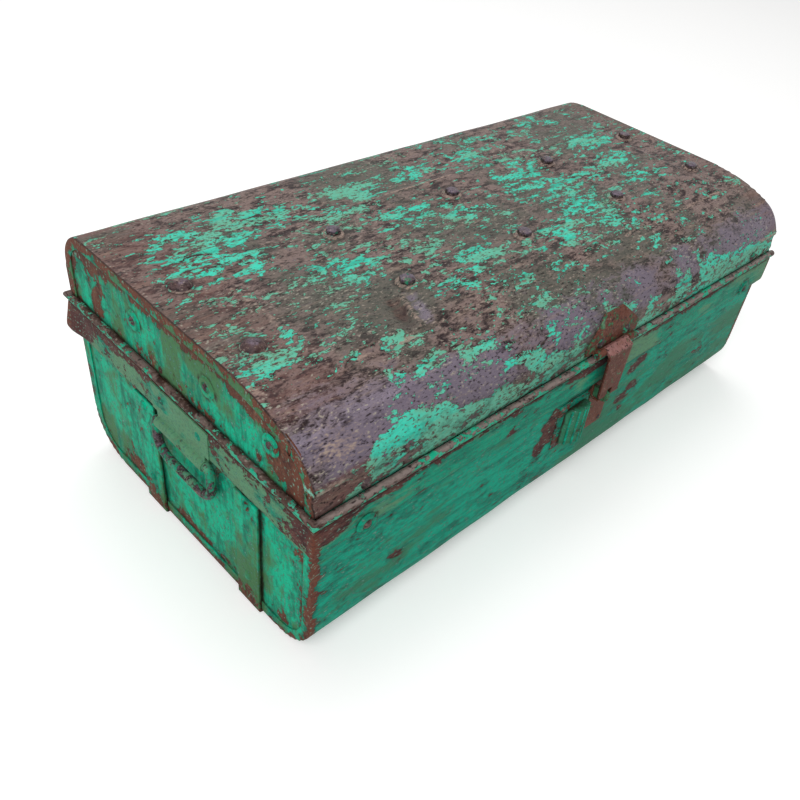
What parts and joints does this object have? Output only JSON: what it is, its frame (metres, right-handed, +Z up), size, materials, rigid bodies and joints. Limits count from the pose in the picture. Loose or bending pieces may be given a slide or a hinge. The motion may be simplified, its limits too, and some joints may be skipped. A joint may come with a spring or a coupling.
{
  "type": "decorative trunk",
  "caption": "Sheet-iron trunk with a hinged, round-shouldered lid, rolled rim, band, drop handles on both ends, skid straps and a hasp over a small lock.",
  "frame": {"origin": "on the floor under the middle of the trunk's overall length and depth", "axes": "+X along the trunk's length, to the right when it is seen from its latch side; -Y the latch side, +Y the hinge side; +Z up"},
  "size_m": [0.597, 0.323, 0.2174],
  "materials": {
    "turquoise_paint": "flat old paint, chipped to brown primer",
    "olive_paint": "dusty flat paint over iron",
    "worn_lid_paint": "paint worn down to rusty, speckled metal",
    "rust_red_iron": "dry red-brown rust with paint remains",
    "worn_iron": "grey-brown worn iron",
    "plain_steel": "dull brown steel"
  },
  "bodies": {
    "body": {"band_rivets": "plain_steel", "band_washers": "worn_iron", "case_wrap": "turquoise_paint", "front_band": "olive_paint", "front_skid_strap": "turquoise_paint", "handle_rivets": "plain_steel", "left_band": "olive_paint", "left_case_seam": "turquoise_paint", "left_end_panel": "turquoise_paint", "left_handle_plate": "olive_paint", "left_hinge_lower_leaf": "worn_iron", "left_hinge_pin": "plain_steel", "lock_plate": "turquoise_paint", "lock_rivets": "plain_steel", "lock_shell": "turquoise_paint", "lower_hinge_rivets": "plain_steel", "rear_band": "olive_paint", "rear_skid_strap": "turquoise_paint", "right_band": "olive_paint", "right_case_seam": "turquoise_paint", "right_end_panel": "turquoise_paint", "right_handle_plate": "olive_paint", "right_hinge_lower_leaf": "worn_iron", "right_hinge_pin": "plain_steel", "staple": "rust_red_iron", "staple_plate": "rust_red_iron", "strap_rivets": "plain_steel"},
    "lid": {"lid_wrap": "worn_lid_paint", "left_lid_seam": "worn_lid_paint", "right_lid_seam": "worn_lid_paint", "left_lid_end": "worn_lid_paint", "right_lid_end": "worn_lid_paint", "rim_wire": "plain_steel", "lid_washers": "worn_iron", "lid_rivets": "plain_steel", "lid_strip_1": "plain_steel", "lid_strip_2": "plain_steel", "lid_strip_3": "plain_steel", "lid_strip_4": "plain_steel", "lid_strip_5": "plain_steel", "lid_bolts": "worn_iron", "lid_bolt_washers": "worn_iron", "lid_nuts": "plain_steel", "hasp_plate": "rust_red_iron", "hasp_pin": "plain_steel", "hasp_rivets": "plain_steel", "left_hinge_upper_leaf": "worn_iron", "right_hinge_upper_leaf": "worn_iron", "upper_hinge_rivets": "plain_steel"},
    "hasp": {"hasp_strap": "rust_red_iron"},
    "left_handle": {"left_bail": "worn_iron"},
    "right_handle": {"right_bail": "worn_iron"}
  },
  "joints": [
    {"name": "lid_hinge", "type": "hinge", "parent": "body", "child": "lid", "pos_m": [0, 0.1571, 0.1495], "axis": [-1, 0, 0], "range_deg": [0, 110]},
    {"name": "hasp_hinge", "type": "hinge", "parent": "lid", "child": "hasp", "pos_m": [0.0095, -0.152, 0.1563], "axis": [-1, 0, 0], "range_deg": [0, 100]},
    {"name": "left_handle_hinge", "type": "hinge", "parent": "body", "child": "left_handle", "pos_m": [-0.2938, -0.005, 0.1109], "axis": [0, 1, 0], "range_deg": [0, 145]},
    {"name": "right_handle_hinge", "type": "hinge", "parent": "body", "child": "right_handle", "pos_m": [0.2938, -0.005, 0.1109], "axis": [0, -1, 0], "range_deg": [0, 145]}
  ]
}
